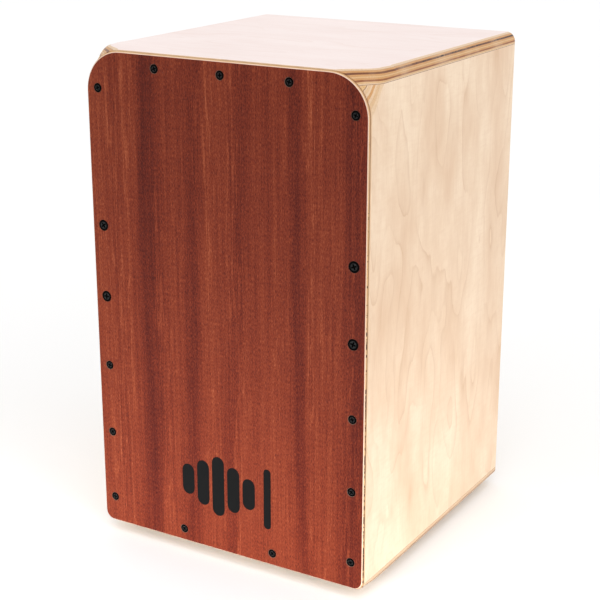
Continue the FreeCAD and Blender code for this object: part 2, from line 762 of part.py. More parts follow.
def make_snare_bar():
    """Wooden bar with round ends, chamfered edges and holes for the snare plate screws."""
    body = new_body("snare_bar")
    half_deep = "Sizes.bar_deep / 2"
    half_tall = "Sizes.bar_tall / 2"
    section = body_sketch(body, "bar_section", "YZ_Plane")
    draw_polygon(section, [
        (f"-{half_deep}", f"-{half_tall}"), (half_deep, f"-{half_tall}"),
        (half_deep, half_tall), (f"-{half_deep}", half_tall),
    ])
    bar = pad(body, section, "Sizes.bar_length", both_ways=True)
    bevel_edges(body, bar, "Sizes.bar_chamfer", lambda edge: edge.BoundBox.XLength > 1)
    pivot = body_sketch(body, "bar_pivot", "YZ_Plane")
    draw_circle(pivot, "0", "0", "Sizes.pivot_radius")
    pad(body, pivot, "Sizes.bar_length + 2 * Sizes.pivot_length", both_ways=True)
    holes = body_sketch(body, "bar_holes", "XZ_Plane")
    for side in SIDES.values():
        for hand in SIDES.values():
            draw_circle(holes, f"{side} * Sizes.set_offset + {hand} * Sizes.pan_spread",
                        "-Sizes.pan_drop", "Sizes.pan_shank + Sizes.shaft_fit")
    pocket(body, holes, f"{half_deep} + Sizes.overhang", upward=True)
    on_bar(body)
    add_node(body, "snare_bar")


def make_snare_sets():
    """For each side a base plate, an end plate and the strands between them."""
    face = "-Sizes.bar_deep / 2"
    for side, sign in SIDES.items():
        middle = f"{sign} * Sizes.set_offset"
        base = block(f"BaseBlank_{side}", f"{middle} - Sizes.base_wide / 2",
                     f"{middle} + Sizes.base_wide / 2", f"{face} - Sizes.base_thick", face,
                     "-Sizes.base_low", "Sizes.base_high")
        bores = group(f"BaseBores_{side}", [
            rod(f"BaseBore_{side}_{hand}", "Sizes.pan_shank + Sizes.shaft_fit", "Sizes.bar_deep",
                f"{middle} + {step} * Sizes.pan_spread", face, "-Sizes.pan_drop", turn=90)
            for hand, step in SIDES.items()
        ])
        plate = cut(f"BasePlate_{side}", base, bores)
        on_bar(plate)
        add_node(plate, f"snare_base_plate_{side}")
        tip = group(f"EndPlate_{side}", [
            block(f"EndBlank_{side}", f"{middle} - Sizes.end_wide / 2", f"{middle} + Sizes.end_wide / 2",
                  f"{face} - Sizes.base_thick", f"{face} - Sizes.base_thick + Sizes.end_thick",
                  "Sizes.strand_high - Sizes.end_tall", "Sizes.strand_high"),
        ])
        on_bar(tip)
        add_node(tip, f"snare_end_plate_{side}")
        strands = group(f"Strands_{side}", [
            rod(f"Strand_{side}_{index}", "Sizes.strand_radius", "Sizes.strand_high - Sizes.strand_low",
                f"{middle} + {index - (STRANDS - 1) / 2} * Sizes.strand_pitch",
                f"{face} - Sizes.base_thick - Sizes.strand_radius", "Sizes.strand_low")
            for index in range(STRANDS)
        ])
        on_bar(strands)
        add_node(strands, f"snare_wires_{side}")


def make_snare_screws():
    """Pan head screws through the base plates into the bar."""
    body = new_body("pan_screw")
    head = turned(body, [
        ("0", "Sizes.pan_tall"),
        ("0", "-Sizes.pan_length"),
        ("Sizes.pan_shank", "-Sizes.pan_length"),
        ("Sizes.pan_shank", "0"),
        ("Sizes.pan_radius", "0"),
        ("Sizes.pan_radius", "Sizes.pan_tall"),
    ])
    top = number("Sizes.pan_tall")
    round_edges(
        body, head, "Sizes.pan_round",
        lambda edge: abs(edge.BoundBox.ZMin - top) < 1e-6 and edge.BoundBox.XLength > 1,
    )
    face = "-Sizes.bar_deep / 2 - Sizes.base_thick"
    links = []
    for side, sign in SIDES.items():
        for hand, step in SIDES.items():
            link = doc.addObject("App::Link", f"PanScrew_{side}_{hand}")
            link.LinkedObject = body
            place(link, f"{sign} * Sizes.set_offset + {step} * Sizes.pan_spread", face,
                  "-Sizes.pan_drop", turn=90)
            links.append(link)
    screws = group("SnarePlateScrews", links)
    on_bar(screws)
    add_node(screws, "snare_plate_screws")


# ---------------------------------------------------------------- build, check and export


def check_and_export():
    """Stop on any failed object or bad shape, then write one STEP file for each node."""
    doc.recompute()
    for thing in doc.Objects:
        if {"Invalid", "Error"} & set(thing.State):
            raise RuntimeError(f"{thing.Name} failed: {thing.State}")
    for thing in nodes:
        if thing.Shape.isNull() or not thing.Shape.isValid():
            raise RuntimeError(f"{thing.Label} has no valid shape")
    os.makedirs("parts", exist_ok=True)
    for thing in nodes:
        thing.Shape.exportStep(f"parts/{thing.Label}.step")
        box = thing.Shape.BoundBox
        print(f"{thing.Label:24s} {len(thing.Shape.Solids):3d} solids {thing.Shape.Volume:12.1f} mm3  "
              f"x {box.XMin:7.1f} {box.XMax:7.1f}  y {box.YMin:7.1f} {box.YMax:7.1f}  "
              f"z {box.ZMin:6.1f} {box.ZMax:6.1f}")


fill_sheet()
box_envelope = make_envelope()
plate_drills = make_front_drills()
panel_drills = make_foot_drills()
make_panels(box_envelope, panel_drills)
make_back_panel()
make_front_plate()
make_battens(box_envelope, plate_drills)
make_corner_blocks()
make_screws()
make_feet()
make_foot_hardware()
make_snare_blocks()
make_snare_bar()
make_snare_sets()
make_snare_screws()
check_and_export()
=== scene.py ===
import math

import bmesh
import bpy
from mathutils import Matrix, Vector


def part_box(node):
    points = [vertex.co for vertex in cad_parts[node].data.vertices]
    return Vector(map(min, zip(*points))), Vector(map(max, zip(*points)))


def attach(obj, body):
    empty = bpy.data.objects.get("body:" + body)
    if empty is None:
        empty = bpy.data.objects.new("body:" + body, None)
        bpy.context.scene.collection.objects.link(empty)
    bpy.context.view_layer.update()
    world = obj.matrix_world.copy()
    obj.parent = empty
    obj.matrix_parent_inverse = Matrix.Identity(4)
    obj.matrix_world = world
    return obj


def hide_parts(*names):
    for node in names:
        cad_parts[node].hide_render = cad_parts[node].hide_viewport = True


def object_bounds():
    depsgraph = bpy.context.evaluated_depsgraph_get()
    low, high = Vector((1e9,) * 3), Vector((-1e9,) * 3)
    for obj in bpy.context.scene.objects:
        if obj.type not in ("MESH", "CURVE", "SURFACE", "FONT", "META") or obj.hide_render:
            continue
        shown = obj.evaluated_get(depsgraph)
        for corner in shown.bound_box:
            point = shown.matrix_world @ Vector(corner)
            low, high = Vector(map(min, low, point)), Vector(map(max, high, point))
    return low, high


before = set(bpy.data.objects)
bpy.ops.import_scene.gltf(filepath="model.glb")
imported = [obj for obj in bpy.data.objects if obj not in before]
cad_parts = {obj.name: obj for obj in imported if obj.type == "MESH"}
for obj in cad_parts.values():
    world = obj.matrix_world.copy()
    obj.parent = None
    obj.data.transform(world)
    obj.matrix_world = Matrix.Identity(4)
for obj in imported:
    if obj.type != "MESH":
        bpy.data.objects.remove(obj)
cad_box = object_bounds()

# Cajon looks. Materials and pieces are worked out in millimetres, in the frame's own axes, and placed in
# metres.

MM = 0.001
SIDES = ("left", "right")
ENDS = ("front", "back")

# Camera: the direction it looks from in degrees, how far off, what it is aimed at, and its lens.
VIEW_AZIMUTH = 30.85
VIEW_ELEVATION = 17.95
VIEW_DISTANCE = 1.4454
VIEW_AIM = (-0.0036, -0.0081, 0.2293)
VIEW_LENS = 85.9

# Places on the object that the materials and the pieces share, in millimetres.
HALF_WIDTH = cad_box[1].x / MM
BOX_BACK = cad_box[1].y / MM
PLATE_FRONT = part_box("front_plate")[0].y / MM
PLATE_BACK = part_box("front_plate")[1].y / MM
PLATE_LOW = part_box("front_plate")[0].z / MM
PLATE_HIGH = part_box("front_plate")[1].z / MM
FLOOR_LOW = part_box("bottom_panel")[0].z / MM
FLOOR_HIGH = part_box("bottom_panel")[1].z / MM
SEAT_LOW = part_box("top_panel")[0].z / MM
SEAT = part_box("top_panel")[1].z / MM
SIDE_THICK = 9
PLATE_CORNER = 40
PLATE_INSET = 1
PLATE_RIM = 3.4
BACK_THICK = (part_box("back_panel")[1].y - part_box("back_panel")[0].y) / MM

# How deep the face veneer and the inner side's lining colour a sheet of plywood, in millimetres.
VENEER = 0.2
VENEER_FADE = 0.06
LINING = 0.06

# Radius of the plate screws' heads and of their shanks, in millimetres.
LIGHT_SCREW = (4.2, 1.9)
HEAVY_SCREW = (5.4, 2.7)
SCREW_LENGTH = 16

# Outlines of turned pieces as (radius, height), in millimetres: a foot on the floor, and a washer.
FOOT_PROFILE = (
    (2.4, 9.98), (12.2, 9.98), (12.9, 9.6), (12.98, 8.9), (12.75, 8.3), (12.45, 8.0),
    (12.4, 7.4), (12.6, 7.1), (12.4, 4.0), (12.15, 1.2), (11.85, 0.35), (11.2, 0.02),
    (10.6, 0.0), (10.4, 0.5), (9.9, 0.7), (9.4, 0.5), (9.2, 0.0), (8.4, 0.0),
    (7.6, 0.1), (7.2, 0.5), (7.05, 1.2), (7.05, 4.98), (2.4, 5.0),
)
WASHER_PROFILE = (
    (2.35, 0.1), (2.5, 0), (5.8, 0), (6, 0.2), (6, 0.8), (5.8, 1), (2.5, 1), (2.35, 0.9),
)
WASHER_HEIGHT = 4

# Snare strands, in millimetres: the coil's radius to the wire's middle, the wire's radius, and a turn's rise.
COIL_RADIUS = 0.86
WIRE_RADIUS = 0.22
COIL_PITCH = 1.15

# Printed mark: its middle, the upright bars' width, spacing and heights, and the slim bar, in millimetres.
MARK_X = -9.5
MARK_Z = 79.5
BAR_WIDE = 14.0
BAR_PITCH = 17.4
BAR_HEIGHTS = (32, 47, 62, 47, 32)
SLIM_BAR_X = 46.0
SLIM_BAR_WIDE = 8.0
SLIM_BAR_TALL = 62
INK_PROUD = 0.06
INK_SUNK = 0.02


# ---------------------------------------------------------------- shader graph helpers


class Graph:
    """A material's node tree, with short calls that return output sockets."""

    def __init__(self, name):
        self.material = bpy.data.materials.new(name)
        self.material.use_nodes = True
        self.tree = self.material.node_tree
        self.tree.nodes.clear()

    def node(self, kind, **settings):
        """New shader node with its own properties set."""
        made = self.tree.nodes.new("ShaderNode" + kind)
        for key, value in settings.items():
            setattr(made, key, value)
        return made

    def feed(self, socket, value):
        """Link an output socket to an input, or set a constant on it; None leaves it alone."""
        if isinstance(value, bpy.types.NodeSocket):
            self.tree.links.new(value, socket)
        elif value is not None:
            socket.default_value = value

    def calc(self, operation, a, b=None, c=None):
        """One step of arithmetic."""
        made = self.node("Math", operation=operation)
        for socket, value in zip(made.inputs, (a, b, c)):
            self.feed(socket, value)
        return made.outputs[0]

    def add(self, *values):
        total = values[0]
        for value in values[1:]:
            total = self.calc("ADD", total, value)
        return total

    def sub(self, a, b):
        return self.calc("SUBTRACT", a, b)

    def times(self, a, b):
        return self.calc("MULTIPLY", a, b)

    def vector(self, operation, a, b=None):
        """One step of vector arithmetic."""
        made = self.node("VectorMath", operation=operation)
        for socket, value in zip(made.inputs, (a, b)):
            self.feed(socket, value)
        return made.outputs[0]

    def place(self):
        """Position in the row frame, in millimetres."""
        source = self.node("TexCoord").outputs["Object"]
        return self.vector("MULTIPLY", source, (1 / MM,) * 3)

    def split(self, vector):
        """X, Y and Z of a vector."""
        made = self.node("SeparateXYZ")
        self.feed(made.inputs[0], vector)
        return made.outputs[0], made.outputs[1], made.outputs[2]

    def join(self, x, y):
        """Vector of X and Y, with no Z."""
        made = self.node("CombineXYZ")
        for socket, value in zip(made.inputs, (x, y)):
            self.feed(socket, value)
        return made.outputs[0]

    def grained(self, position, grain, across, along, shift=0.0):
        """Position divided by a feature's size across and along the grain axis, 0 to 2."""
        scale = [1 / across] * 3
        scale[grain] = 1 / along
        scaled = self.vector("MULTIPLY", position, tuple(scale))
        return self.vector("ADD", scaled, (shift, shift, shift))

    def noise(self, position, detail=2.0, rough=0.5, distort=0.0):
        """Noise with features of about one unit of the position that it is given."""
        made = self.node("TexNoise")
        self.feed(made.inputs["Vector"], position)
        made.inputs["Scale"].default_value = 1.0
        made.inputs["Detail"].default_value = detail
        made.inputs["Roughness"].default_value = rough
        made.inputs["Distortion"].default_value = distort
        return made.outputs[0]

    def lumps(self, position, size, detail=2.0, rough=0.5):
        """Noise with features of one size in millimetres in every direction."""
        return self.noise(self.vector("MULTIPLY", position, (1 / size,) * 3), detail, rough)

    def swing(self, noise, amount):
        """A noise as a signed variation of about plus or minus a quarter of amount."""
        return self.times(self.sub(noise, 0.5), amount)

    def ramp(self, amount, stops, steps=False):
        """Colour ramp; each stop is (place, colour or grey)."""
        made = self.node("ValToRGB")
        made.color_ramp.interpolation = "CONSTANT" if steps else "LINEAR"
        elements = made.color_ramp.elements
        while len(elements) < len(stops):
            elements.new(1.0)
        for element, (spot, colour) in zip(elements, stops):
            element.position = spot
            element.color = (*colour, 1) if isinstance(colour, tuple) else (colour,) * 3 + (1,)
        self.feed(made.inputs[0], amount)
        return made.outputs[0]

    def fit(self, value, from_low, from_high, to_low=0.0, to_high=1.0):
        """Map a value from one range to another, clamped."""
        made = self.node("MapRange", clamp=True)
        for socket, item in zip(made.inputs, (value, from_low, from_high, to_low, to_high)):
            self.feed(socket, item)
        return made.outputs[0]

    def mix(self, amount, a, b, blend="MIX"):
        """Mix of two colours."""
        made = self.node("Mix", data_type="RGBA", blend_type=blend)
        self.feed(made.inputs[0], amount)
        for socket, value in ((made.inputs[6], a), (made.inputs[7], b)):
            self.feed(socket, (*value, 1) if isinstance(value, tuple) else value)
        return made.outputs[2]

    def blend(self, amount, a, b):
        """Mix of two numbers."""
        made = self.node("Mix", data_type="FLOAT")
        for socket, value in ((made.inputs[0], amount), (made.inputs[2], a), (made.inputs[3], b)):
            self.feed(socket, value)
        return made.outputs[0]

    def bump(self, height, depth, normal=None):
        """Bump of a 0 to 1 height, depth in millimetres."""
        made = self.node("Bump")
        made.inputs["Strength"].default_value = 1.0
        made.inputs["Distance"].default_value = depth * MM
        self.feed(made.inputs["Height"], height)
        self.feed(made.inputs["Normal"], normal)
        return made.outputs[0]

    def finish(self, colour, rough, normal, **constants):
        """Principled surface; constants are set on the shader's own sockets."""
        shader = self.node("BsdfPrincipled")
        self.feed(shader.inputs["Base Color"], colour)
        self.feed(shader.inputs["Roughness"], rough)
        self.feed(shader.inputs["Normal"], normal)
        for key, value in constants.items():
            shader.inputs[key.replace("_", " ")].default_value = value
        output = self.node("OutputMaterial")
        self.tree.links.new(shader.outputs[0], output.inputs[0])
        return self.material


def srgb(red, green, blue):
    """Linear colour from screen values of 0 to 255."""
    shares = [value / 255 for value in (red, green, blue)]
    return tuple(s / 12.92 if s <= 0.04045 else ((s + 0.055) / 1.055) ** 2.4 for s in shares)


# ---------------------------------------------------------------- plywood

PLY_PALE = srgb(230, 200, 164)
PLY_CREAM = srgb(222, 186, 144)
PLY_LIGHT = srgb(220, 178, 126)
PLY_TAN = srgb(206, 152, 94)
PLY_BROWN = srgb(142, 82, 36)
PLY_DARK = srgb(108, 58, 22)
PLY_ROSE = srgb(242, 211, 188)
PLY_ASH = srgb(196, 172, 144)
PLY_GLUE = srgb(118, 70, 38)
# Near-black inside the core's small voids: painted shade in the holes.
PLY_VOID_SHADE = srgb(40, 24, 15)
# Near-black of the plate's screw holes: partly stain, partly painted shade in the countersinks.
HOLE_STAIN_AND_SHADE = srgb(26, 15, 12)

# Layers from the outer face to the inner one.
SEAT_LAYERS = (PLY_PALE, PLY_TAN, PLY_DARK, PLY_TAN, PLY_LIGHT, PLY_TAN, PLY_BROWN, PLY_LIGHT, PLY_PALE)
SIDE_LAYERS = (PLY_PALE, PLY_CREAM, PLY_PALE, PLY_TAN, PLY_PALE, PLY_CREAM, PLY_PALE)
FLOOR_LAYERS = (PLY_PALE, PLY_ASH, PLY_PALE, PLY_BROWN, PLY_ASH, PLY_CREAM, PLY_PALE)
BACK_LAYERS = (PLY_PALE, PLY_TAN, PLY_PALE)
PLATE_LAYERS = (PLY_ROSE, PLY_LIGHT, PLY_ROSE)

# Plain birch: its pale and its warm ground, its growth lines, and how strongly they show.
PLAIN_BIRCH = (srgb(234, 208, 172), srgb(224, 192, 153), srgb(190, 148, 106), 0.55)

# Dark ribbons of the red veneer: middle at the seat, lean, half width, and strength.
RIBBONS = (
    (-77, 0.022, 11, 0.23),
    (-28, 0.023, 9, 0.15),
    (22, 0.035, 8, 0.16),
    (73, -0.031, 7, 0.17),
    (134, -0.004, 9, 0.18),
    (-118, 0.010, 6, 0.08),
    (150, 0.000, 11, 0.13),
)


def ply_edge(graph, position, depth, thick, layers, grains, glue, voids, joint_and_gap_shade):
    """Bare plywood edge: layers whose grain turns by turns, glue lines between them, and small voids.

    Depth is from the outer face. Voids are (layer, their size, share of its length, axis, where they start
    along the axis, where they are all there), or None; they are painted near-black as painted shade inside
    the holes, with a dent in the height. Joint is the width of the dark line where the sheet meets the next:
    a glue line, and on the plate also painted shade for the gap behind its edge. Returns colour and height.
    """
    count = len(layers)
    wander = graph.swing(graph.lumps(position, 34, 1.0), 0.35)
    share = graph.calc("DIVIDE", graph.add(depth, wander), thick)
    tone = graph.ramp(share, [(index / count, layer) for index, layer in enumerate(layers)], steps=True)
    turn = graph.ramp(share, [(index / count, float(index % 2)) for index in range(count)], steps=True)
    fibres = [graph.noise(graph.grained(position, axis, 0.3, 9.0, axis * 7.3), 3.0) for axis in grains]
    fibre = graph.blend(turn, *fibres)
    patch = graph.lumps(position, 26, 2.0)
    colour = graph.mix(graph.fit(patch, 0.45, 0.70, 0.0, 0.35), tone, PLY_PALE)
    colour = graph.mix(graph.fit(fibre, 0.35, 0.75, 0.0, 0.4), colour, PLY_BROWN)
    within = graph.calc("FRACT", graph.times(share, count))
    rim = graph.calc("ABSOLUTE", graph.sub(within, 0.5))
    colour = graph.mix(graph.fit(rim, 0.41, 0.49, 0.0, glue), colour, PLY_GLUE)
    # Dark line next to the inner face: a glue line, and on the plate, where it is wide, painted shade for the
    # gap behind its edge.
    colour = graph.mix(graph.fit(depth, thick - joint_and_gap_shade * 2, thick - joint_and_gap_shade, 0.0, 0.85), colour, PLY_GLUE)
    height = graph.times(fibre, 0.25)
    if voids:
        layer, size, length, axis, start, full = voids
        core = graph.calc("ABSOLUTE", graph.sub(graph.times(share, count), layer + 0.5))
        zone = graph.fit(graph.split(position)[axis], start, full, -0.3, 0.0)
        runs = graph.swing(graph.lumps(position, 30, 1.0), 0.5)
        holes = graph.add(graph.lumps(position, size, 2.0), runs, zone)
        # Voids darkened near-black as painted shade inside the holes, and dented a little.
        void = graph.times(graph.fit(core, 0.44, 0.34), graph.fit(holes, 0.64 - length, 0.68 - length))
        colour = graph.mix(void, colour, PLY_VOID_SHADE)
        height = graph.sub(height, void)
    return colour, height


def birch_face(graph, position, grain, seed, pale, warm, line_colour, strength=1.0):
    """Rotary cut birch: faint nested growth lines, sharp on one side, over a softly shimmering ground.

    Grain is the axis of the fibres, seed sets one face apart from another, and strength is that of the lines.
    """
    jag = graph.noise(graph.grained(position, grain, 7, 26, seed), 2.0, 0.5)
    field = graph.noise(graph.grained(position, grain, 52, 165, seed + 3), 1.6, 0.5)
    field = graph.add(graph.times(field, 7.5), graph.times(jag, 0.28))
    ring = graph.calc("FRACT", field)
    line = graph.ramp(ring, [(0.0, 0.0), (0.5, 0.05), (0.84, 0.42), (0.96, 1.0), (1.0, 0.0)])
    presence = graph.noise(graph.grained(position, grain, 50, 90, seed + 11), 1.0)
    presence = graph.fit(presence, 0.38, 0.64, 0.10 * strength, 0.62 * strength)
    cloud = graph.noise(graph.grained(position, grain, 45, 110, seed + 5), 4.0, 0.55)
    fibre = graph.noise(graph.grained(position, grain, 0.7, 14, seed), 4.0, 0.6)
    band = graph.noise(graph.grained(position, grain, 9, 150, seed + 8), 3.0)
    shimmer = graph.noise(graph.grained(position, grain, 15, 3.4, seed + 2), 2.0, 0.5, 0.6)
    colour = graph.mix(graph.fit(cloud, 0.34, 0.68), pale, warm)
    colour = graph.mix(graph.times(line, presence), colour, line_colour)
    colour = graph.mix(graph.fit(band, 0.45, 0.75, 0.0, 0.12 * strength), colour, line_colour)
    colour = graph.mix(graph.fit(shimmer, 0.42, 0.72, 0.0, 0.36 * strength), colour, warm)
    colour = graph.mix(graph.fit(fibre, 0.42, 0.75, 0.0, 0.26 * strength), colour, line_colour)
    return colour, fibre


def side_face(graph, position):
    """Warm birch of the side panels, with upright grain."""
    return birch_face(graph, position, 2, 8.0, srgb(239, 215, 187), srgb(222, 189, 157),
                      srgb(194, 150, 110), 0.8)


def seat_face(graph, position):
    """Pale pinkish-white birch of the seat, with grain from side to side; part of its whiteness is painted
    sheen of the light on the top.
    """
    # The seat's near-white colours are partly painted sheen: the light's reflection on the top is put into
    # the veneer's colour.
    return birch_face(graph, position, 0, 31.0, srgb(246, 230, 226), srgb(241, 222, 217),
                      srgb(222, 190, 176), 0.4)


def upright_face(graph, position):
    """Plain birch with upright grain."""
    return birch_face(graph, position, 2, 77.0, *PLAIN_BIRCH)


def level_face(graph, position):
    """Plain birch with grain from side to side."""
    return birch_face(graph, position, 0, 52.0, *PLAIN_BIRCH)


def red_face(graph, position):
    """Red-brown veneer: soft dark ribbons, fine streaks, a flecked light patch and open pores."""
    x, y, z = graph.split(position)
    wobble = graph.swing(graph.noise(graph.grained(position, 2, 50, 240, 4.0)), 24.0)
    drop = graph.sub(z, SEAT)
    bent = graph.add(x, wobble)
    dark = None
    for middle, lean, half, strength in RIBBONS:
        away = graph.sub(bent, graph.calc("MULTIPLY_ADD", drop, lean, middle))
        share = graph.calc("POWER", graph.calc("ABSOLUTE", graph.calc("DIVIDE", away, half)), 3.0)
        part = graph.calc("DIVIDE", strength, graph.add(share, 1.0))
        dark = part if dark is None else graph.add(dark, part)
    broad = graph.noise(graph.grained(position, 2, 22, 800, 1.0), 2.0)
    narrow = graph.noise(graph.grained(position, 2, 3.2, 200, 6.0), 3.0, 0.6)
    streak = graph.noise(graph.grained(position, 2, 1.0, 45, 9.0), 3.0, 0.6)
    mottle = graph.noise(graph.grained(position, 2, 20, 4.5, 2.0), 2.0, 0.5, 0.8)
    fleck = graph.noise(graph.grained(position, 2, 0.65, 2.8, 3.0), 2.0, 0.7)
    pore = graph.fit(graph.noise(graph.grained(position, 2, 0.35, 5.0, 12.0), 1.0), 0.60, 0.70)
    vein = graph.noise(graph.grained(position, 2, 6.0, 140, 15.0), 2.0, 0.5)
    vein = graph.fit(graph.calc("ABSOLUTE", graph.sub(vein, 0.5)), 0.0, 0.03, 0.20, 0.0)
    tone = graph.add(
        0.55,
        graph.swing(broad, 0.26),
        graph.swing(narrow, 0.34),
        graph.swing(streak, 0.36),
        graph.swing(mottle, 0.14),
        graph.swing(fleck, 1.20),
        graph.times(vein, graph.fit(broad, 0.40, 0.60)),
        graph.times(dark, -1.0),
        graph.times(pore, -0.10),
    )
    colour = graph.ramp(tone, [
        (0.0, srgb(50, 12, 9)), (0.25, srgb(82, 26, 17)), (0.5, srgb(114, 44, 26)),
        (0.75, srgb(141, 66, 40)), (1.0, srgb(168, 95, 64)),
    ])
    return colour, graph.sub(graph.times(fleck, 0.5), pore)


def plywood(name, depth_of, thick, face, layers, grains, glue=0.5, voids=None, joint_and_gap_shade=0.32, drilled=False,
            lining=None, rough=(0.34, 0.52), coat=0.15, shine=0.4):
    """A plywood sheet as a solid: face veneers on both sides and bare layers between them.

    depth_of gives the distance from the outer face; face gives colour and height, and lining does for the
    inner side where that differs. Drilled is for a sheet whose holes are darkened, partly as stain and
    partly as painted shade in the countersinks.
    """
    graph = Graph(name)
    position = graph.place()
    depth = depth_of(graph, *graph.split(position))
    edge_colour, edge_height = ply_edge(graph, position, depth, thick, layers, grains, glue, voids, joint_and_gap_shade)
    # Screw holes darkened: partly stain, partly painted shade in the countersinks.
    if drilled:
        edge_colour = graph.mix(screw_hole(graph, position), edge_colour, HOLE_STAIN_AND_SHADE)
    face_colour, face_height = face(graph, position)
    inner_colour, inner_height = lining(graph, position) if lining else (face_colour, face_height)
    outer = graph.fit(depth, VENEER, VENEER + VENEER_FADE, 1.0, 0.0)
    inner = graph.fit(depth, thick - LINING, thick - LINING / 2, 0.0, 1.0)
    colour = graph.mix(outer, graph.mix(inner, edge_colour, inner_colour), face_colour)
    height = graph.blend(outer, graph.blend(inner, edge_height, inner_height), face_height)
    worn = graph.add(graph.swing(graph.lumps(position, 60, 3.0), 0.25), graph.swing(face_height, 0.3))
    roughness = graph.fit(worn, -0.15, 0.15, *rough)
    return graph.finish(colour, roughness, graph.bump(height, 0.05), Coat_Weight=coat,
                        Coat_Roughness=0.25, Specular_IOR_Level=shine)


def screw_hole(graph, position):
    """How strongly a bare edge of the plate is darkened, partly as stain and partly as painted shade.

    Inside the plate's rim an edge can only be a screw hole's, and the rim's own edge stays pale.
    """
    x, y, z = graph.split(position)
    middle = (PLATE_HIGH + PLATE_LOW) / 2
    across = graph.sub(graph.calc("ABSOLUTE", x), HALF_WIDTH - PLATE_CORNER - PLATE_INSET)
    up = graph.sub(graph.calc("ABSOLUTE", graph.sub(z, middle)), PLATE_HIGH - PLATE_CORNER - middle)
    reach = graph.node("VectorMath", operation="LENGTH")
    past = graph.join(graph.calc("MAXIMUM", across, 0.0), graph.calc("MAXIMUM", up, 0.0))
    graph.feed(reach.inputs[0], past)
    return graph.times(graph.calc("LESS_THAN", reach.outputs["Value"], PLATE_CORNER - PLATE_RIM), 0.85)


def depth_below(top):
    """Depth of a level sheet whose outer face is up."""
    return lambda graph, x, y, z: graph.sub(top, z)


def depth_above(low):
    """Depth of a level sheet whose outer face is down."""
    return lambda graph, x, y, z: graph.sub(z, low)


def depth_from_side(graph, x, y, z):
    """Depth of either side panel."""
    return graph.sub(HALF_WIDTH, graph.calc("ABSOLUTE", x))


def depth_from_front(graph, x, y, z):
    """Depth of the playing plate."""
    return graph.sub(y, PLATE_FRONT)


def depth_from_back(graph, x, y, z):
    """Depth of the back panel."""
    return graph.sub(BOX_BACK, y)


def paint_panels():
    """One material for each sheet's own stack of layers."""
    paint(plywood("seat_plywood", depth_below(SEAT), SEAT - SEAT_LOW, seat_face, SEAT_LAYERS, (0, 1),
                  glue=0.6, voids=(2, 1.7, 0.17, 1, -135, -60)), "top_panel")
    paint(plywood("side_plywood", depth_from_side, SIDE_THICK, side_face, SIDE_LAYERS, (2, 1), glue=0.15),
          "side_panel_left", "side_panel_right")
    paint(plywood("floor_plywood", depth_above(FLOOR_LOW), FLOOR_HIGH - FLOOR_LOW, level_face,
                  FLOOR_LAYERS, (0, 1), glue=0.35, voids=(3, 2.4, 0.04, 0, -160, -150)), "bottom_panel")
    paint(plywood("back_plywood", depth_from_back, BACK_THICK, upright_face, BACK_LAYERS, (2, 0),
                  voids=(1, 2.4, 0.02, 2, 0, 10)), "back_panel")
    # On the plate the dark line at the inner face is wide: partly painted shade for the gap behind its edge.
    paint(plywood("plate_plywood", depth_from_front, PLATE_BACK - PLATE_FRONT, red_face, PLATE_LAYERS,
                  (0, 2), glue=0.3, voids=(1, 2.2, 0.18, 2, 480, 180), joint_and_gap_shade=0.85, drilled=True,
                  lining=upright_face, rough=(0.28, 0.46), coat=0.0, shine=0.1), "front_plate")


# ---------------------------------------------------------------- other materials


def solid_wood(name, pale, dark, grain, ring, rough=0.55):
    """Planed solid wood with growth rings, flecks and fibre."""
    graph = Graph(name)
    position = graph.place()
    bend = graph.noise(graph.grained(position, grain, 40, 400), 1.0)
    flat = [1.0, 1.0, 1.0]
    flat[grain] = 0.02
    reach = graph.node("VectorMath", operation="LENGTH")
    graph.feed(reach.inputs[0], graph.vector("MULTIPLY", position, tuple(flat)))
    rings = graph.calc("DIVIDE", reach.outputs["Value"], ring)
    rings = graph.calc("FRACT", graph.calc("MULTIPLY_ADD", bend, 3.0, rings))
    line = graph.ramp(rings, [(0.0, 0.1), (0.6, 0.25), (0.9, 1.0), (1.0, 0.0)])
    fibre = graph.noise(graph.grained(position, grain, 0.5, 20), 4.0, 0.6)
    fleck = graph.fit(graph.noise(graph.grained(position, grain, 0.5, 3, 5.0), 1.0), 0.62, 0.68)
    colour = graph.mix(graph.times(line, 0.6), pale, dark)
    colour = graph.mix(graph.fit(fibre, 0.3, 0.75, 0.0, 0.35), colour, dark)
    colour = graph.mix(graph.times(fleck, 0.4), colour, dark)
    height = graph.add(fibre, graph.times(line, 0.3))
    roughness = graph.fit(fibre, 0.2, 0.8, rough - 0.08, rough + 0.1)
    return graph.finish(colour, roughness, graph.bump(height, 0.06), Specular_IOR_Level=0.4)


def metal(name, colour, tarnish, rough, grain=None, metallic=1.0, shine=0.5):
    """Metal with handling marks, tarnish and, where a grain axis is given, drawing lines."""
    graph = Graph(name)
    position = graph.place()
    patch = graph.lumps(position, 3, 4.0, 0.65)
    if grain is None:
        fine = graph.lumps(position, 0.25, 3.0)
    else:
        fine = graph.noise(graph.grained(position, grain, 0.12, 8.0), 3.0)
    mixed = graph.mix(graph.fit(patch, 0.45, 0.75, 0.0, 0.7), colour, tarnish)
    mixed = graph.mix(graph.fit(fine, 0.55, 0.8, 0.0, 0.3), mixed, tarnish)
    roughness = graph.add(graph.fit(patch, 0.3, 0.7, rough - 0.06, rough + 0.12),
                          graph.fit(fine, 0.3, 0.7, 0.0, 0.06))
    return graph.finish(mixed, roughness, graph.bump(fine, 0.015), Metallic=metallic,
                        Specular_IOR_Level=shine)


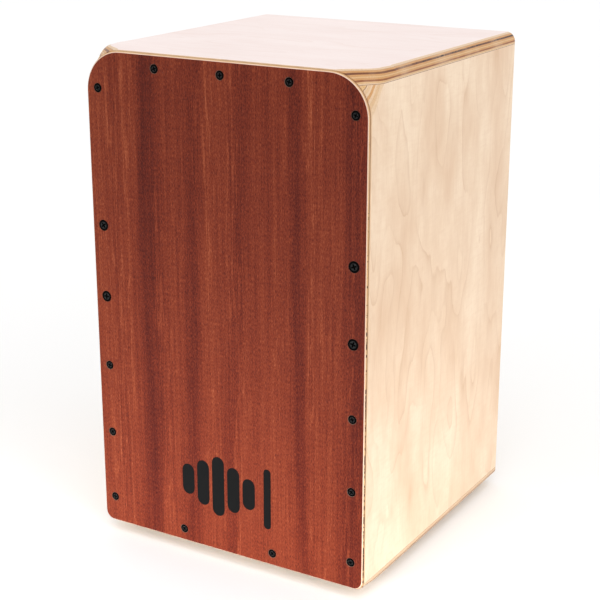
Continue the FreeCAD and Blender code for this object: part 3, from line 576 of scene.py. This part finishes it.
def rubber():
    """Moulded black rubber, fine grained and dusty."""
    graph = Graph("moulded_rubber")
    position = graph.place()
    grain = graph.lumps(position, 0.45, 4.0, 0.7)
    dust = graph.lumps(position, 8, 3.0)
    colour = graph.mix(graph.fit(dust, 0.4, 0.75, 0.0, 0.5), srgb(28, 27, 27), srgb(78, 75, 70))
    colour = graph.mix(graph.fit(grain, 0.5, 0.8, 0.0, 0.3), colour, srgb(58, 56, 54))
    return graph.finish(colour, graph.fit(grain, 0.3, 0.7, 0.62, 0.82), graph.bump(grain, 0.08))


def print_ink():
    """Matt black screen print over wood: the veneer's pores show through a little."""
    graph = Graph("print_ink")
    position = graph.place()
    fibre = graph.noise(graph.grained(position, 2, 0.9, 6.5, 3.0), 3.0, 0.7)
    pore = graph.fit(graph.noise(graph.grained(position, 2, 0.35, 5.0, 12.0), 1.0), 0.60, 0.70)
    thin = graph.fit(fibre, 0.5, 0.8, 0.0, 0.5)
    colour = graph.mix(thin, srgb(11, 12, 12), srgb(26, 22, 20))
    colour = graph.mix(graph.times(pore, 0.4), colour, srgb(8, 6, 6))
    height = graph.sub(graph.times(fibre, 0.5), pore)
    return graph.finish(colour, graph.fit(fibre, 0.3, 0.7, 0.42, 0.6), graph.bump(height, 0.03),
                        Specular_IOR_Level=0.08)


def paint(material, *nodes):
    """Give CAD nodes a material."""
    for name in nodes:
        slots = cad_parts[name].data.materials
        slots.clear()
        slots.append(material)


def paint_inner_wood():
    """Pine strips and blocks, the beech snare bar and its blocks, and the brass strips."""
    pine = (srgb(226, 190, 138), srgb(190, 138, 84))
    beech = (srgb(214, 170, 126), srgb(176, 124, 84))
    upright = solid_wood("pine_upright", *pine, grain=2, ring=3.4)
    level = solid_wood("pine_level", *pine, grain=0, ring=3.4)
    paint(upright, *(f"{end}_batten_{side}" for end in ENDS for side in SIDES))
    paint(upright, "corner_block_left", "corner_block_right")
    paint(level, *(f"{end}_batten_{side}" for end in ENDS for side in ("top", "bottom")))
    paint(solid_wood("beech_bar", *beech, grain=0, ring=2.6), "snare_bar")
    paint(solid_wood("beech_block", *beech, grain=1, ring=2.6), "snare_block_left", "snare_block_right")
    brass = metal("brass_strip", srgb(206, 168, 92), srgb(150, 110, 58), 0.3, grain=0)
    paint(brass, *(f"snare_{part}_plate_{side}" for part in ("base", "end") for side in SIDES))


def ease_edges():
    """Break the sharp edges of the planed strips and blocks."""
    strips = [f"{end}_batten_{part}" for end in ENDS for part in (*SIDES, "top", "bottom")]
    blocks = [f"{part}_block_{side}" for part in ("corner", "snare") for side in SIDES]
    for name in (*strips, *blocks):
        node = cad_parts[name]
        weld = node.modifiers.new("weld", "WELD")
        weld.merge_threshold = 0.001 * MM
        bevel = node.modifiers.new("bevel", "BEVEL")
        bevel.width = 0.35 * MM
        bevel.segments = 2
        bevel.limit_method = "ANGLE"
        bevel.angle_limit = math.radians(40)


# ---------------------------------------------------------------- mesh helpers


def solids(node):
    """Vertices of each separate solid of a CAD node, as lists, in a fixed order."""
    mesh = bmesh.new()
    mesh.from_mesh(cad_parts[node].data)
    bmesh.ops.remove_doubles(mesh, verts=mesh.verts, dist=1e-6)
    seen = set()
    found = []
    for start in mesh.verts:
        if start in seen:
            continue
        seen.add(start)
        group = [start]
        for vertex in group:
            for edge in vertex.link_edges:
                other = edge.other_vert(vertex)
                if other not in seen:
                    seen.add(other)
                    group.append(other)
        found.append([vertex.co.copy() for vertex in group])
    mesh.free()
    return sorted(found, key=lambda group: (round(centre(group).x, 4), round(centre(group).z, 4)))


def centre(points):
    """Middle of the points' box."""
    low = Vector([min(point[axis] for point in points) for axis in range(3)])
    high = Vector([max(point[axis] for point in points) for axis in range(3)])
    return (low + high) / 2


def mean(points):
    """Average of the points."""
    return sum(points, Vector()) / len(points)


def polar(radius, turn, height):
    """Point at a radius and an angle in radians about Z."""
    return radius * math.cos(turn), radius * math.sin(turn), height


def basis(origin, axis, across=(1, 0, 0)):
    """Placement of a shape made in millimetres along +Z: its origin, its Z axis, and roughly its X axis."""
    z = Vector(axis).normalized()
    y = z.cross(Vector(across)).normalized()
    x = y.cross(z)
    turn = Matrix((x, y, z)).transposed().to_4x4()
    return Matrix.Translation(origin) @ turn @ Matrix.Scale(MM, 4)


class Shape:
    """Vertices and faces gathered in millimetres, then placed in the row frame."""

    def __init__(self):
        self.points = []
        self.faces = []
        # Faces that take a lighter copy of the material as a painted highlight.
        self.bright = []
        self.place = Matrix.Scale(MM, 4)

    def ring(self, points):
        """Add points and return their numbers."""
        start = len(self.points)
        self.points.extend(self.place @ Vector(point) for point in points)
        return list(range(start, len(self.points)))

    def join(self, a, b):
        """Quads between two closed rings of the same size."""
        count = len(a)
        for i in range(count):
            self.faces.append((a[i], a[(i + 1) % count], b[(i + 1) % count], b[i]))

    def cap(self, ring, middle, flip=False):
        """Fan from a ring to a middle point."""
        tip = self.ring([middle])[0]
        count = len(ring)
        for i in range(count):
            pair = (ring[i], ring[(i + 1) % count])
            self.faces.append((pair[1], pair[0], tip) if flip else (*pair, tip))

    def piece(self, name, material, body, slot, *replaced, bright=None):
        """Turn the shape into a piece that rides on a body; its faces marked for the painted highlight may
        have their own lighter material.
        """
        mesh = bpy.data.meshes.new(name)
        mesh.from_pydata([tuple(point) for point in self.points], [], self.faces)
        mesh.materials.append(material)
        # Marked faces take the lighter copy: a painted highlight.
        if bright:
            mesh.materials.append(bright)
            for index in self.bright:
                mesh.polygons[index].material_index = 1
        cleaned = bmesh.new()
        cleaned.from_mesh(mesh)
        bmesh.ops.recalc_face_normals(cleaned, faces=cleaned.faces)
        cleaned.to_mesh(mesh)
        cleaned.free()
        made = bpy.data.objects.new(name, mesh)
        bpy.context.collection.objects.link(made)
        for polygon in mesh.polygons:
            polygon.use_smooth = True
        mesh.set_sharp_from_angle(angle=math.radians(32))
        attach(made, body)
        if replaced:
            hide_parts(*replaced)
        return made


def circle(radius, height, count):
    """Points of a level circle about Z."""
    return [polar(radius, 2 * math.pi * i / count, height) for i in range(count)]


def lathe(shape, profile, count):
    """Closed rings through a profile of (radius, height); returns them."""
    rings = [shape.ring(circle(radius, height, count)) for radius, height in profile]
    for a, b in zip(rings, rings[1:]):
        shape.join(a, b)
    return rings


# ---------------------------------------------------------------- screws


def cross_outline(arm, half, height):
    """Twelve corners of a cross, counterclockwise from the arm on +X."""
    points = []
    quarter = [(arm, -half), (arm, half), (half, half)]
    for _ in range(4):
        points += [(x, y, height) for x, y in quarter]
        quarter = [(-y, x) for x, y in quarter]
    return points


def cross_recess(shape, rim, arm, half, top, deep):
    """Fill from a rim ring to a cross recess with tapered walls and a pit; the fill is marked for the painted
    highlight.
    """
    outline = cross_outline(arm, half, top)
    mouth = shape.ring(outline)
    angles = [math.atan2(y, x) % (2 * math.pi) for x, y, z in outline]
    order = sorted(range(len(outline)), key=lambda k: angles[k])
    count = len(rim)

    def nearest(i):
        """Corner of the recess's mouth at or just before the angle of a rim point."""
        turn = 2 * math.pi * (i % count) / count
        below = [k for k in order if angles[k] <= turn + 1e-9]
        return mouth[below[-1] if below else order[-1]]

    start = len(shape.faces)
    for i in range(count):
        a = nearest(i)
        b = nearest(i + 1)
        corner = (rim[i], rim[(i + 1) % count])
        shape.faces.append((*corner, a) if a == b else (*corner, b, a))
    # The flat face around the recess is marked for the painted highlight.
    shape.bright.extend(range(start, len(shape.faces)))
    lower = shape.ring(cross_outline(arm * 0.62, half * 0.72, top - deep * 0.8))
    shape.join(mouth, lower)
    shape.cap(lower, (0, 0, top - deep))


def threaded(shape, core, crest, start, end, pitch, count, tip):
    """Threaded shank between two heights, tapering to a point below the lower one."""
    rings = []
    step = pitch / 6
    height = start
    while height > end + tip * 0.1:
        taper = min(1.0, (height - end) / tip)
        begin = min(1.0, (start - height) / pitch)
        points = []
        for i in range(count):
            share = i / count
            wave = abs(((height / pitch + share) % 1.0) - 0.5) * 2
            ridge = max(0.0, 1 - wave * 2.4) * begin
            radius = (core + (crest - core) * ridge) * taper
            points.append(polar(radius, 2 * math.pi * share, height))
        rings.append(shape.ring(points))
        height -= step
    for a, b in zip(rings, rings[1:]):
        shape.join(a, b)
    shape.cap(rings[-1], (0, 0, end))
    return rings[0]


def flat_head_screw(shape, head, shank):
    """Countersunk wood screw: its head's face is at the origin and its point is down.

    The middle of the face stands a little proud of a sloping rim. The flat of the face takes a lighter,
    glossier copy of the steel as a painted highlight; the rim and the recess keep the darker, duller one as
    painted shade.
    """
    count = 36
    neck = shank - head - 0.2
    rings = lathe(shape, [
        (head * 0.62, 0), (head * 0.68, -0.12), (head - 0.1, -0.16), (head, -0.22), (head - 0.04, -0.32),
        (shank + 0.05, neck), (shank - 0.05, neck - 0.5),
    ], count)
    cross_recess(shape, rings[0], head * 0.52, head * 0.15, 0, 1.7)
    top = threaded(shape, shank * 0.7, shank - 0.05, neck - 0.6, -SCREW_LENGTH, shank * 0.8, count, 4)
    shape.join(rings[-1], top)


def pan_head_screw(shape, head, tall, shank, length):
    """Domed screw: the head stands on the origin's plane and the shank is below it."""
    count = 32
    dome = [(head * math.cos(a), tall * (0.35 + 0.65 * math.sin(a)))
            for a in (math.radians(degrees) for degrees in (66, 50, 35, 20, 8))]
    rings = lathe(shape, [
        *dome, (head, tall * 0.25), (head, 0), (shank * 0.95, 0), (shank * 0.9, -0.6),
    ], count)
    cross_recess(shape, rings[0], head * 0.36, head * 0.12, dome[0][1], tall * 0.6)
    top = threaded(shape, shank * 0.68, shank * 0.95, -0.7, -length, shank * 0.8, count, 2.5)
    shape.join(rings[-1], top)


def make_plate_screws():
    """Both sizes of fixed screws and the two slap screws, each screw with its own turn of the recess."""
    # Two copies of one black steel: the darker, duller one on the rim and in the recess is painted shade, and
    # the lighter, glossier one on the flat of the face is a painted highlight.
    black = metal("black_steel", srgb(6, 5, 5), srgb(14, 11, 10), 0.55, metallic=0.0, shine=0.02)
    highlight_steel = metal("black_steel_painted_highlight", srgb(13, 15, 15), srgb(30, 33, 32), 0.36, metallic=0.0, shine=0.2)
    for node, name, size in (("front_plate_screws", "plate_screws", LIGHT_SCREW),
                             ("wide_plate_screws", "heavier_plate_screws", HEAVY_SCREW)):
        fixed = Shape()
        for index, group in enumerate(solids(node)):
            make_one_plate_screw(fixed, group, size, 37 * index)
        fixed.piece(name, black, "shell", "black_steel", node, bright=highlight_steel)
    for index, side in enumerate(SIDES):
        loose = Shape()
        make_one_plate_screw(loose, solids(f"slap_screw_{side}")[0], LIGHT_SCREW, 20 + 50 * index)
        loose.piece(f"slap_screw_{side}_piece", black, f"slap_screw_{side}", "black_steel",
                    f"slap_screw_{side}", bright=highlight_steel)


def make_one_plate_screw(shape, group, size, degrees):
    """Screw of a size where the CAD has this group of points, with its recess turned by some degrees."""
    middle = centre(group)
    face = min(point.y for point in group)
    turn = math.radians(degrees)
    shape.place = basis((middle.x, face, middle.z), (0, -1, 0), (math.cos(turn), 0, math.sin(turn)))
    flat_head_screw(shape, *size)


# ---------------------------------------------------------------- feet


def turned_ring(shape, profile, count):
    """Closed ring turned about Z from a closed outline."""
    rings = lathe(shape, profile, count)
    shape.join(rings[-1], rings[0])


def make_feet():
    """Rubber feet with ribbed undersides; returns their centres."""
    black = rubber()
    centres = []
    for end in ENDS:
        for side in SIDES:
            node = f"foot_{end}_{side}"
            low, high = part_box(node)
            x = (low.x + high.x) / 2
            y = (low.y + high.y) / 2
            shape = Shape()
            shape.place = basis((x, y, 0), (0, 0, 1))
            turned_ring(shape, FOOT_PROFILE, 64)
            shape.piece(f"rubber_{node}", black, "shell", "black_rubber", node)
            centres.append((x, y))
    return centres


def make_foot_hardware(centres, steel):
    """A washer and a pan head screw in each foot."""
    washers = Shape()
    screws = Shape()
    for index, (x, y) in enumerate(centres):
        washers.place = basis((x, y, WASHER_HEIGHT * MM), (0, 0, 1))
        turned_ring(washers, WASHER_PROFILE, 48)
        turn = math.radians(25 + 50 * index)
        screws.place = basis((x, y, WASHER_HEIGHT * MM), (0, 0, -1), (math.cos(turn), math.sin(turn), 0))
        pan_head_screw(screws, head=4, tall=2.4, shank=2, length=12.9)
    washers.piece("washers_of_feet", steel, "shell", "zinc_steel", "foot_washers")
    screws.piece("screws_of_feet", steel, "shell", "zinc_steel", "foot_screws")


# ---------------------------------------------------------------- snare


def strand_line(flat, length, rise, fall):
    """Middle line of a strand's wire along Z: coiled from rise to fall, and straight on its plates' side."""
    steps = 10
    spare = 0.3
    ease_length = 1.5
    against = flat * (COIL_RADIUS - 0.02)
    points = [against + Vector((0, 0, end)) for end in (spare, rise - 1)]
    count = int((fall - rise) / COIL_PITCH * steps)
    for i in range(count + 1):
        height = rise + (fall - rise) * i / count
        ease = min(1.0, (height - rise) / ease_length, (fall - height) / ease_length)
        turn = 2 * math.pi * i / steps
        round_part = Vector((math.cos(turn), math.sin(turn), 0)) * COIL_RADIUS * ease
        points.append(round_part + against * (1 - ease) + Vector((0, 0, height)))
    points += [against + Vector((0, 0, end)) for end in (fall + 1, length - spare)]
    return points


def strand(shape, low, high, rise, fall):
    """Coiled wire from low to high, soldered to its plates below rise and above fall.

    The plates are on the strand's +Y side.
    """
    sides = 5
    shape.place = basis(low, (high - low).normalized())
    length = (high - low).length / MM
    sideways = shape.place.to_3x3().inverted() @ Vector((0, 1, 0))
    flat = Vector((sideways.x, sideways.y, 0)).normalized()
    points = strand_line(flat, length, rise, fall)
    turns = [2 * math.pi * k / sides for k in range(sides)]
    rings = []
    for i, point in enumerate(points):
        ahead = points[min(i + 1, len(points) - 1)] - points[max(i - 1, 0)]
        ahead.normalize()
        first = ahead.cross(flat.cross(Vector((0, 0, 1)))).normalized()
        second = ahead.cross(first)
        rings.append(shape.ring([
            point + (first * math.cos(turn) + second * math.sin(turn)) * WIRE_RADIUS for turn in turns
        ]))
    for a, b in zip(rings, rings[1:]):
        shape.join(a, b)
    shape.cap(rings[0], points[0], flip=True)
    shape.cap(rings[-1], points[-1])
    for height in (rise * 0.5, (fall + length) / 2):
        solder(shape, flat * (COIL_RADIUS + 0.1) + Vector((0, 0, height)), flat)


def solder(shape, middle, flat):
    """A small bead of solder that holds a strand's end to its plate."""
    side = Vector((0, 0, 1)).cross(flat)
    tall = Vector((0, 0, 2.1))
    thick = flat * 0.42
    turns = [2 * math.pi * j / 10 for j in range(10)]
    rings = []
    for k in range(5):
        lift = math.radians(-80 + 40 * k)
        rings.append(shape.ring([
            middle - thick * math.sin(lift)
            + (side * math.cos(turn) + tall * math.sin(turn)) * math.cos(lift)
            for turn in turns
        ]))
    for a, b in zip(rings, rings[1:]):
        shape.join(a, b)
    shape.cap(rings[0], middle + thick, flip=True)
    shape.cap(rings[-1], middle - thick)


def strand_ends(group):
    """Lower and upper end of a strand's axis, from its CAD points."""
    middle = centre(group).z
    low = mean([point for point in group if point.z < middle])
    high = mean([point for point in group if point.z >= middle])
    return low, high


def make_snares():
    """Two sets of coiled strands; returns the line that they run along."""
    wire = metal("snare_wire", srgb(190, 190, 188), srgb(132, 128, 120), 0.26)
    for side in SIDES:
        shape = Shape()
        base_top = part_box(f"snare_base_plate_{side}")[1].z
        tip_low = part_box(f"snare_end_plate_{side}")[0].z
        for group in solids(f"snare_wires_{side}"):
            low, high = strand_ends(group)
            along = high - low
            rise = (base_top - low.z) / along.z * along.length / MM
            fall = (tip_low - low.z) / along.z * along.length / MM
            strand(shape, low, high, rise + 1, fall - 1)
        shape.piece(f"snare_coils_{side}", wire, "snare", "snare_steel", f"snare_wires_{side}")
    return along


def make_snare_screws(along, steel):
    """Pan head screws that hold the base plates, square to the strands."""
    tall = 1.8
    screws = Shape()
    out = Vector((0, -along.z, along.y)).normalized()
    for index, group in enumerate(solids("snare_plate_screws")):
        reach = [point.dot(out) for point in group]
        middle = centre(group)
        head_top = middle + out * (max(reach) - middle.dot(out))
        turn = math.radians(15 + 40 * index)
        across = Vector((math.cos(turn), 0, 0)) + along.normalized() * math.sin(turn)
        screws.place = basis(head_top - out * tall * MM, out, across)
        pan_head_screw(screws, head=2.6, tall=tall, shank=1.25, length=9.8)
    screws.piece("snare_screws", steel, "snare", "zinc_steel", "snare_plate_screws")


# ---------------------------------------------------------------- printed mark


def make_mark():
    """Plain upright bars, and one slim bar beside them, printed low on the plate."""
    shape = Shape()
    face = PLATE_FRONT - INK_PROUD
    root = PLATE_FRONT + INK_SUNK
    bars = [(MARK_X + BAR_PITCH * step, BAR_WIDE, tall) for step, tall in enumerate(BAR_HEIGHTS, -2)]
    bars.append((SLIM_BAR_X, SLIM_BAR_WIDE, SLIM_BAR_TALL))
    for x, wide, tall in bars:
        outline = rounded_bar(x, MARK_Z, wide, tall)
        front = shape.ring([(px, face, pz) for px, pz in outline])
        back = shape.ring([(px, root, pz) for px, pz in outline])
        shape.join(front, back)
        shape.cap(front, (x, face, MARK_Z))
        shape.cap(back, (x, root, MARK_Z), flip=True)
    shape.piece("printed_mark", print_ink(), "shell", "black_steel")


def rounded_bar(x, z, wide, tall):
    """Outline of an upright bar with half round ends."""
    radius = wide / 2
    points = []
    for end, start in ((1, 0), (-1, 180)):
        middle = z + end * (tall / 2 - radius)
        for k in range(9):
            turn = math.radians(start + 22.5 * k)
            points.append((x + radius * math.cos(turn), middle + radius * math.sin(turn)))
    return points


# ---------------------------------------------------------------- floor, light and camera


def make_floor():
    """Wide pale paper floor."""
    reach = 40.0
    mesh = bpy.data.meshes.new("floor")
    mesh.from_pydata([(-reach, -reach, 0), (reach, -reach, 0), (reach, reach, 0), (-reach, reach, 0)],
                     [], [(0, 1, 2, 3)])
    floor = bpy.data.objects.new("floor", mesh)
    bpy.context.collection.objects.link(floor)
    graph = Graph("floor_paper")
    grain = graph.lumps(graph.place(), 1.3, 3.0)
    colour = graph.mix(graph.fit(grain, 0.3, 0.7), (0.90, 0.90, 0.90), (0.93, 0.93, 0.93))
    mesh.materials.append(graph.finish(colour, 0.9, graph.bump(grain, 0.02)))


def make_light(name, kind, spot, aim, power, **settings):
    """Light at a spot, turned towards its aim."""
    data = bpy.data.lights.new(name, kind)
    data.energy = power
    for key, value in settings.items():
        setattr(data, key, value)
    light = bpy.data.objects.new(name, data)
    bpy.context.collection.objects.link(light)
    light.location = spot
    light.rotation_mode = "QUATERNION"
    light.rotation_quaternion = (Vector(aim) - Vector(spot)).to_track_quat("-Z", "Y")


def make_lights():
    """Wide soft key from the upper right, and two low fills for the plate and for the right side."""
    make_light("key", "SUN", (0.9, -0.75, 1.7), (0, 0, 0), 0.9, angle=math.radians(60))
    make_light("front_fill", "AREA", (-0.5, -1.9, 0.25), (-0.04, -0.15, -0.14), 1.35,
               size=0.5, spread=math.radians(26))
    make_light("side_fill", "AREA", (1.35, -0.75, 0.3), (0.15, -0.07, -0.15), 0.55,
               size=0.3, spread=math.radians(36))


def make_world():
    """Even white surround."""
    world = bpy.data.worlds.new("studio")
    world.use_nodes = True
    background = world.node_tree.nodes["Background"]
    background.inputs[0].default_value = (1.0, 1.0, 1.0, 1)
    background.inputs[1].default_value = 0.88
    bpy.context.scene.world = world
    bpy.context.scene.view_settings.view_transform = "Standard"


def make_camera():
    """Camera on the view's direction, aimed at the middle of the picture."""
    azimuth = math.radians(VIEW_AZIMUTH)
    elevation = math.radians(VIEW_ELEVATION)
    back = Vector((math.sin(azimuth) * math.cos(elevation), -math.cos(azimuth) * math.cos(elevation),
                   math.sin(elevation)))
    data = bpy.data.cameras.new("camera")
    data.lens = VIEW_LENS
    camera = bpy.data.objects.new("camera", data)
    bpy.context.collection.objects.link(camera)
    camera.location = Vector(VIEW_AIM) + back * VIEW_DISTANCE
    camera.rotation_mode = "QUATERNION"
    camera.rotation_quaternion = (-back).to_track_quat("-Z", "Y")
    bpy.context.scene.camera = camera


make_camera()
make_world()
make_lights()
make_floor()
paint_panels()
paint_inner_wood()
ease_edges()
make_plate_screws()
zinc = metal("zinc_steel", srgb(196, 197, 194), srgb(150, 148, 138), 0.3)
make_foot_hardware(make_feet(), zinc)
make_snare_screws(make_snares(), zinc)
make_mark()
